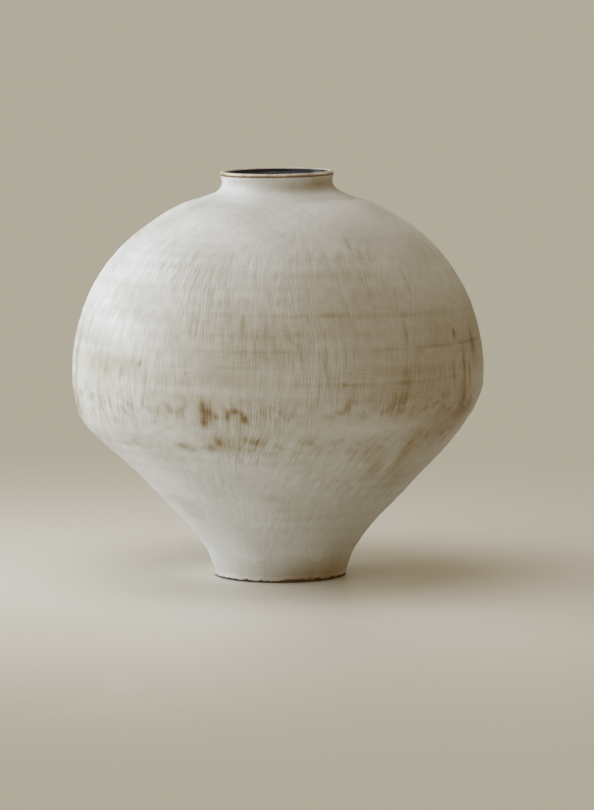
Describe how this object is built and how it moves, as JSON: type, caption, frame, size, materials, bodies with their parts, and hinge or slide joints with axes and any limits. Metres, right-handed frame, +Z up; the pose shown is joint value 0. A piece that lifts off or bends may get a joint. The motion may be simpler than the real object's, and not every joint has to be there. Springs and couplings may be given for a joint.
{
  "type": "moon jar",
  "caption": "Round-shouldered stoneware storage jar of two joined bowls with a short neck, brushed with white slip, on a narrow foot.",
  "frame": {"origin": "on the jar's axis, on the surface that it stands on", "axes": "+Z up along the jar's axis, -Y towards the viewer of the front, +X to that viewer's right"},
  "size_m": [0.41, 0.41, 0.4043],
  "materials": {
    "stoneware": "matte fired iron-bearing clay",
    "luting_clay": "matte fired joining slip",
    "white_slip": "brushed white slip under a thin satin glaze",
    "rim_slip": "cream slip worn thin on the rim",
    "dark_glaze": "glossy iron-brown glaze"
  },
  "bodies": {
    "root": {"foot_ring": "stoneware", "lower_bowl": "stoneware", "upper_bowl": "stoneware", "neck_collar": "stoneware", "foot_luting_slip": "luting_clay", "waist_luting_slip": "luting_clay", "neck_luting_slip": "luting_clay", "waist_seam_coil": "stoneware", "lower_slip_coat": "white_slip", "upper_slip_coat": "white_slip", "neck_slip_coat": "white_slip", "lip_slip_band": "rim_slip", "dark_glaze_lining": "dark_glaze"}
  },
  "joints": []
}
